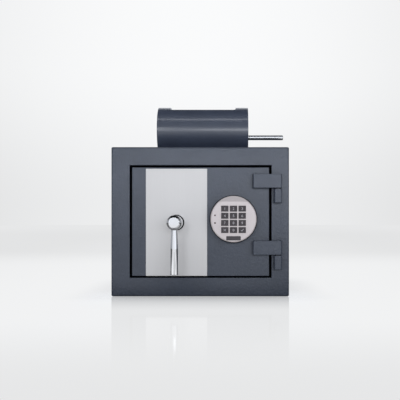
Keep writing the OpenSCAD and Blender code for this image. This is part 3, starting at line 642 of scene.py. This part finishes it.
def strokes(lines, width):
    """A mark of straight strokes, drawn as thin boxes between points in X and Z."""
    bm = bmesh.new()
    for start, end in lines:
        along = Vector((end[0] - start[0], 0, end[1] - start[1]))
        size = Matrix.Diagonal((along.length + width, MARK_DEPTH, width, 1))
        turn = Matrix.Rotation(-math.atan2(along.z, along.x), 4, "Y")
        shift = Matrix.Translation(((start[0] + end[0]) / 2, 0, (start[1] + end[1]) / 2))
        bmesh.ops.create_cube(bm, size=1, matrix=shift @ turn @ size)
    return bm


def number(text):
    """A numeral as a thin raised mesh, centred, and facing the front."""
    curve = bpy.data.curves.new("mark_" + text, "FONT")
    curve.body = text
    curve.size = FONT_SIZE
    curve.extrude = MARK_DEPTH / 2
    curve.align_x = "CENTER"
    curve.align_y = "CENTER"
    curve.offset = FONT_THICKENING
    holder = bpy.data.objects.new("mark_" + text, curve)
    bpy.context.scene.collection.objects.link(holder)
    bpy.context.view_layer.update()
    mesh = bpy.data.meshes.new_from_object(holder.evaluated_get(bpy.context.evaluated_depsgraph_get()))
    bpy.data.objects.remove(holder)
    bm = bmesh.new()
    bm.from_mesh(mesh)
    bmesh.ops.remove_doubles(bm, verts=bm.verts, dist=MERGE)
    heights = [vert.co.y for vert in bm.verts]
    widths = [vert.co.x for vert in bm.verts]
    shift = Vector((-(min(widths) + max(widths)) / 2, -(min(heights) + max(heights)) / 2, 0))
    bmesh.ops.translate(bm, vec=shift, verts=bm.verts)
    bmesh.ops.transform(bm, matrix=FACING_FRONT, verts=bm.verts)
    bmesh.ops.recalc_face_normals(bm, faces=bm.faces)
    return bm


def make_marks():
    """A numeral on each key, a cross on the clear key and a tick on the enter key."""
    half = MARK_HEIGHT / 2
    arm = half * 0.7
    tick_start = (-half * 0.9, -0.0002)
    tick_foot = (-half * 0.25, -half * 0.75)
    tick_end = (half, half * 0.8)
    drawn = {
        "key_clear": strokes([((-arm, -arm), (arm, arm)), ((-arm, arm), (arm, -arm))], CROSS_STROKE),
        "key_enter": strokes([(tick_start, tick_foot), (tick_foot, tick_end)], TICK_STROKE),
    }
    for key in KEYS:
        bm = drawn[key] if key in drawn else number(key.removeprefix("key_"))
        centre = middle(key)
        face = Vector((centre.x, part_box(key)[0].y - MARK_DEPTH * MARK_LIFT, centre.z))
        bmesh.ops.translate(bm, vec=face, verts=bm.verts)
        lay_down(key + "_mark", bm, key, LEGEND_INK)


def make_keys():
    """Rubber keys with a soft rim round their fronts. The flange behind the cover stays plain."""
    for key in KEYS:
        piece = softened(key, KEY_EDGE)
        piece.modifiers["rounded_edges"].limit_method = "WEIGHT"
        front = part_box(key)[0].y + RIM_DEPTH
        points = piece.data.vertices
        weights = piece.data.attributes.new("bevel_weight_edge", "FLOAT", "EDGE").data
        for edge, weight in zip(piece.data.edges, weights):
            weight.value = float(all(points[end].co.y < front for end in edge.vertices))


def make_lenses():
    """Two small domed lenses in their holes."""
    low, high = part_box("status_lenses")
    radius = (high.x - low.x) / 2
    length = high.y - low.y
    rise = arc((0, 0), 1.0, 0, 90, 8)
    profile = [(0, 0), (radius, 0)]
    profile += [(radius * c, (length - LENS_DOME) + LENS_DOME * s) for c, s in rise[:-1]]
    profile += [(0, length)]
    both = bmesh.new()
    for height in (low.z + radius, high.z - radius):
        bm = set_in_place(turned(profile, 32), FACING_FRONT, (middle("status_lenses").x, high.y, height))
        mesh = bpy.data.meshes.new("one_lens")
        bm.to_mesh(mesh)
        bm.free()
        both.from_mesh(mesh)
    lay_down(
        "status_lenses_domed", both, "door", LENS, ["status_lenses"], TURNED_SHARP_ANGLE
    )


# Studio

STRIP_RISE = 53
STRIP_DISTANCE = 1.5
FLOOR_RADIUS = 12
FLOOR_DROP = 0.0003

# The lamps' colour
COOL = (0.97, 0.995, 1.045)
# Tint of the surroundings and of the floor's veil. From the surroundings, rays that aren't the
# camera's get less red and more blue.
PALE_RED = 0.990
PALE_GREEN = 0.997
PALE_BLUE = 1.004
LESS_RED = 0.02
MORE_BLUE = 0.035

# Levels of the surroundings, where 1 is white. A gain or a loss is added to a level or taken off.
WALL_FOOT = 0.87
WALL_TOP = 0.965
WALL_LOSS_LIMIT = 0.085
FILL_LOW = 0.55
FILL_OVERHEAD = 0.26
FILL_BEHIND_GAIN = 1.5
ROOM_LEVEL = 0.16
ROOM_SIDES_GAIN = 0.22
ROOM_OVERHEAD_LOSS = 0.15
ROOM_BEHIND = 0.95
CARD_LEVEL = 0.84
CARD_RIGHT_GAIN = 0.2
CARD_LINE_SHARE = 0.6

# Levels of the floor's veil, and shares of it that reflected rays gain or lose
VEIL_LEVEL = 0.89
VEIL_BEHIND_LOSS = 0.075
VEIL_FRONT_LOSS = 0.09
VEIL_FAR_GAIN = 0.03
VEIL_SIDES_LOSS = 0.04
VEIL_AT_CABINET = 0.75
REFLECTED_SHARE = 0.83
WEDGE_SHARE = 1.05
HUB_LINE_SHARE = 0.75
RIGHT_SHARE = 0.35
SHEEN_WIDE = 0.115
SHEEN_CLOSE = 0.27


def add_camera():
    data = bpy.data.cameras.new("camera")
    data.sensor_width = SENSOR
    data.lens = SENSOR * VIEW_DISTANCE / (IMAGE_SIDE * METRES_PER_PIXEL)
    data.shift_x = (IMAGE_SIDE / 2 - FOOT_X) / IMAGE_SIDE
    data.shift_y = (FOOT_Y - IMAGE_SIDE / 2) / IMAGE_SIDE
    data.clip_end = FAR_CLIP
    camera = bpy.data.objects.new("camera", data)
    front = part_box("front_frame")[0].y
    camera.location = (EYE_X, front - VIEW_DISTANCE, EYE_Z)
    camera.rotation_euler = (math.radians(90), 0, 0)
    bpy.context.scene.collection.objects.link(camera)
    bpy.context.scene.camera = camera


def add_soft_box(name, centre, target, width, height, radiance, in_mirrors=True):
    """A flat soft lamp of an even brightness, facing a point. Mirrors may be kept from seeing it."""
    data = bpy.data.lights.new(name, "AREA")
    data.shape = "RECTANGLE"
    data.size = width
    data.size_y = height
    data.energy = radiance * math.pi * width * height
    data.color = COOL
    lamp = bpy.data.objects.new(name, data)
    lamp.location = centre
    aim = Vector(target) - Vector(centre)
    lamp.rotation_euler = aim.to_track_quat("-Z", "Y").to_euler()
    lamp.visible_glossy = in_mirrors
    bpy.context.scene.collection.objects.link(lamp)


def add_lamps():
    """Soft boxes left and right of the camera, two behind the cabinet that mirrors don't see,
    and a strip in front of the drum housing and above it."""
    aim = (0, -0.2, 0.2)
    add_soft_box("left_soft_box", (-0.52, -2.05, 0.60), aim, width=0.42, height=0.5, radiance=5.2)
    add_soft_box(
        "right_soft_box", (0.59, -2.05, 0.51), (0.1, -0.2, 0.51), width=1.5, height=0.32, radiance=5.1
    )
    for name, x in (("left_rim_box", -1.9), ("right_rim_box", 1.9)):
        add_soft_box(name, (x, 0.95, 0.85), aim, width=1.6, height=1.2, radiance=4.5, in_mirrors=False)
    rise = math.radians(STRIP_RISE)
    drum_z = middle("drum_housing").z
    place = (0, -STRIP_DISTANCE * math.cos(rise), drum_z + STRIP_DISTANCE * math.sin(rise))
    add_soft_box("strip", place, (0, 0, drum_z), width=2.4, height=0.12, radiance=5.0)


def add_world():
    """The surroundings: a near-white wall for the camera, a dim room with a white card and a light
    back for reflected rays, and a fill for all other rays.

    Reflected rays are what Is Reflection Ray marks, which is bounces off matt surfaces as well as
    off shiny ones. Is Glossy Ray, which leaves the matt ones out, and Is Transmission Ray aren't used.
    """
    world = bpy.data.worlds.new("studio")
    world.use_nodes = True
    bpy.context.scene.world = world
    tree = world.node_tree
    tree.nodes.clear()
    start = Wire(tree)
    heading = start.node("ShaderNodeTexCoord", out="Generated")
    side = start.node("ShaderNodeSeparateXYZ", None, {0: heading}, out="X")
    back = side.output("Y")
    up = side.output("Z")
    camera = start.node("ShaderNodeLightPath", out="Is Camera Ray")
    reflected = camera.output("Is Reflection Ray")

    # The wall is paler higher up and darker away from its middle
    off_middle = side.math("MINIMUM", (side + 0.045) ** 2, WALL_LOSS_LIMIT)
    wall = fade(up, 0.0, 0.22, WALL_FOOT, WALL_TOP) - off_middle
    fill = fade(up, 0.35, 0.9, FILL_LOW, FILL_OVERHEAD) + fade(back, -0.05, 0.5) * FILL_BEHIND_GAIN

    # A dim room, lighter far to both sides
    room = fade(side * side, 0.72, 0.88) * ROOM_SIDES_GAIN + ROOM_LEVEL
    # A low white card in front, lighter to the right, with a soft dark line down its middle
    card = fade(side * side, 0.80, 0.64) * fade(back, -0.1, -0.3) * fade(up, 0.30, 0.20)
    card_level = fade(side, 0.05, 0.25) * CARD_RIGHT_GAIN + CARD_LEVEL
    line = fade(side.math("ABSOLUTE", side + 0.005), 0.065, 0.03)
    room = room + card * card_level * (1 - line * CARD_LINE_SHARE)
    # Darker overhead, lighter behind, and like the wall straight behind
    room = room - fade(back, -0.2, -0.1) * fade(up, 0.72, 0.86) * ROOM_OVERHEAD_LOSS
    room = room + (ROOM_BEHIND - room) * (fade(back, 0.12, 0.4) * fade(up, 0.85, 0.6))
    straight_behind = fade(back, 0.8, 0.95) * fade(up, 0.6, 0.3)
    room = room + (wall - room) * straight_behind

    level = fill + (room - fill) * reflected
    level = level + (wall - level) * camera
    unseen = 1 - camera
    red = level * (PALE_RED - unseen * LESS_RED)
    blue = level * (PALE_BLUE + unseen * MORE_BLUE)
    tint = start.node("ShaderNodeCombineColor", None, {0: red, 1: level * PALE_GREEN, 2: blue})
    shader = start.node("ShaderNodeBackground", None, {"Color": tint, "Strength": 1.0})
    output = tree.nodes.new("ShaderNodeOutputWorld")
    tree.links.new(shader.socket, output.inputs[0])


def floor_material():
    """A pale floor. The camera and reflected rays see a glowing veil, which thins beside the cabinet
    so that its shadow shows. The camera also sees a weak mirror sheen in front of the cabinet.

    Reflected rays are the same ones as in the world, so the veil lights matt surfaces too.
    """
    material = bpy.data.materials.new("pale_floor")
    material.use_nodes = True
    tree = material.node_tree
    tree.nodes.clear()
    start = Wire(tree)
    place = start.node("ShaderNodeTexCoord", out="Object")
    x = start.node("ShaderNodeSeparateXYZ", None, {0: place}, out="X")
    y = x.output("Y")
    camera = start.node("ShaderNodeLightPath", out="Is Camera Ray")
    reflected = camera.output("Is Reflection Ray")

    # Distance from the cabinet's foot
    across = x.math("ABSOLUTE", x)
    beside = x.math("MAXIMUM", across - CABINET_HALF_WIDTH, 0.0)
    before = x.math("MAXIMUM", y.math("ABSOLUTE", y) - CABINET_HALF_DEPTH, 0.0)
    gap = (beside * beside + before * before) ** 0.5

    # The veil is darker behind, in front and to the sides, and a little paler again far behind
    white = VEIL_LEVEL - fade(y, 0.7, 1.8) * VEIL_BEHIND_LOSS - fade(y, -0.5, -1.05) * VEIL_FRONT_LOSS
    white = white + fade(y, 4.0, 9.0) * VEIL_FAR_GAIN - fade(across, 0.3, 1.1) * VEIL_SIDES_LOSS
    # For reflected rays it is dark but for a wedge in front with a dark line before the hub, and it
    # is darker still on the right
    hub_heading = (x + 0.053) / (0.2 - y)
    line = fade(x.math("ABSOLUTE", hub_heading + 0.01), 0.11, 0.06) * fade(y, -4.5, -3.0)
    wedge = fade(across / (0.1 - y), 1.6, 1.1) * fade(y, -0.24, -0.34) * (1 - line * HUB_LINE_SHARE)
    right = fade(x, 0.05, 0.30) * fade(y, -1.0, -0.6)
    white = white * (1 + reflected * (wedge * WEDGE_SHARE - REFLECTED_SHARE))
    white = white * (1 - reflected * right * RIGHT_SHARE)
    veil_colour = start.node(
        "ShaderNodeCombineColor",
        None,
        {0: white * PALE_RED, 1: white * PALE_GREEN, 2: white * PALE_BLUE},
    )

    matt = start.node("ShaderNodeBsdfDiffuse", None, {"Color": (0.86, 0.865, 0.87, 1.0)})
    veil = start.node("ShaderNodeEmission", None, {"Color": veil_colour, "Strength": 1.0})
    veil_share = fade(gap, 0.0, 0.12, VEIL_AT_CABINET, 1.0) * (camera + reflected)
    ground = start.node("ShaderNodeMixShader", None, {0: veil_share, 1: matt, 2: veil})
    sheen = start.node("ShaderNodeBsdfGlossy", None, {"Color": (1, 1, 1, 1), "Roughness": 0.07})
    sheen_share = (fade(gap, 0.75, 0.3) * SHEEN_WIDE + fade(gap, 0.24, 0.0) * SHEEN_CLOSE) * camera
    sheen_share = sheen_share * fade(across, 0.30, 0.21) * fade(y, 0.0, -0.19)
    surface = start.node("ShaderNodeMixShader", None, {0: sheen_share, 1: ground, 2: sheen})
    output = tree.nodes.new("ShaderNodeOutputMaterial")
    tree.links.new(surface.socket, output.inputs[0])
    return material


def add_floor():
    bm = bmesh.new()
    bmesh.ops.create_circle(bm, cap_ends=True, segments=96, radius=FLOOR_RADIUS)
    bmesh.ops.translate(bm, vec=(0, 0, -FLOOR_DROP), verts=bm.verts)
    mesh = bpy.data.meshes.new("floor")
    bm.to_mesh(mesh)
    bm.free()
    mesh.materials.append(floor_material())
    floor = bpy.data.objects.new("floor", mesh)
    bpy.context.scene.collection.objects.link(floor)


add_camera()
dress_nodes()

for plate in ("front_frame", "door_plate", "hinge_leaves", "hinge_knuckles"):
    softened(plate, PLATE_EDGE)
softened("drum_housing", HOUSING_EDGE, material=DRUM_COAT_PAINTED_LIGHT)
for plate in ("housing_end_left", "housing_end_right"):
    softened(plate, END_EDGE, segments=2)
for plate in ("fascia_panel", "keypad_base"):
    softened(plate, PANEL_EDGE, segments=2)
for plate in ("box_cover", "keypad_badge"):
    softened(plate, THIN_EDGE, segments=2)
make_hub()
make_washer_and_shade()
make_lever()
make_rod()
make_keys()
make_marks()
make_lenses()

add_lamps()
add_world()
add_floor()
bpy.context.scene.view_settings.view_transform = "Standard"
